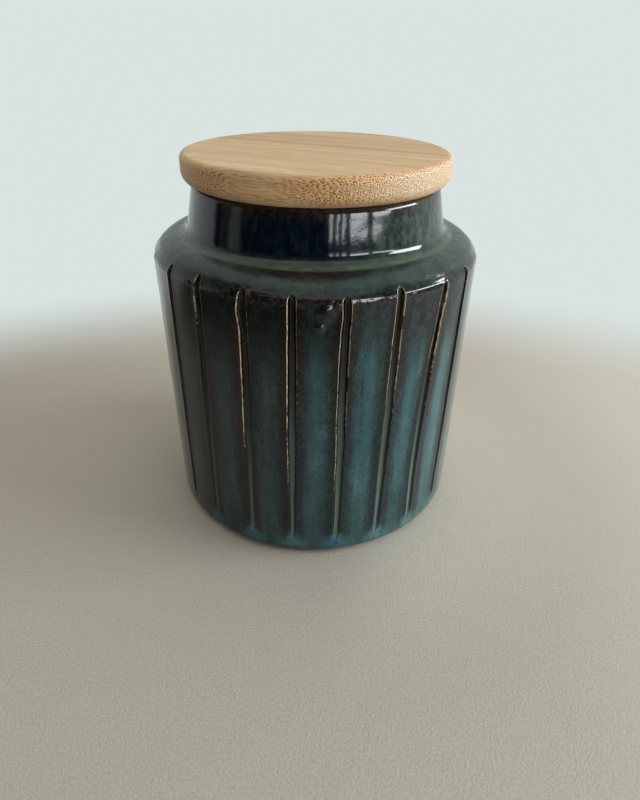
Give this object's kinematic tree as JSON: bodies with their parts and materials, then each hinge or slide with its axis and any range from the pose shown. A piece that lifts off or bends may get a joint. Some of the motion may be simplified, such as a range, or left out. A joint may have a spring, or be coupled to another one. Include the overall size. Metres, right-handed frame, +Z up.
{
  "type": "tea canister",
  "caption": "Round glazed stoneware storage jar with carved upright grooves, a short neck and a laminated bamboo lid whose plug carries a finned sealing ring.",
  "frame": {"origin": "middle of the foot, on the surface that the jar stands on", "axes": "+Z up along the jar's axis, -Y towards the front seen in the picture, +X to the right of that view"},
  "size_m": [0.122, 0.122, 0.14],
  "materials": {
    "glaze": "glossy reactive glaze, teal on the panels and brown to black beside the grooves",
    "bamboo": "sanded bamboo, thinly oiled, satin",
    "silicone": "translucent white silicone, matt"
  },
  "bodies": {
    "jar": {"jar": "glaze"},
    "seal": {"seal_ring": "silicone"},
    "lid": {"lid_stave_1": "bamboo", "lid_stave_2": "bamboo", "lid_stave_3": "bamboo", "lid_stave_4": "bamboo", "plug_stave_1": "bamboo", "plug_stave_2": "bamboo", "plug_stave_3": "bamboo"}
  },
  "joints": [
    {"name": "lid_lift", "type": "slide", "parent": "jar", "child": "seal", "axis": [0, 0, 1], "range_m": [0, 0.06]},
    {"name": "lid_turn", "type": "hinge", "parent": "seal", "child": "lid", "pos_m": [0, 0, 0.1243], "axis": [0, 0, 1], "continuous": true}
  ]
}
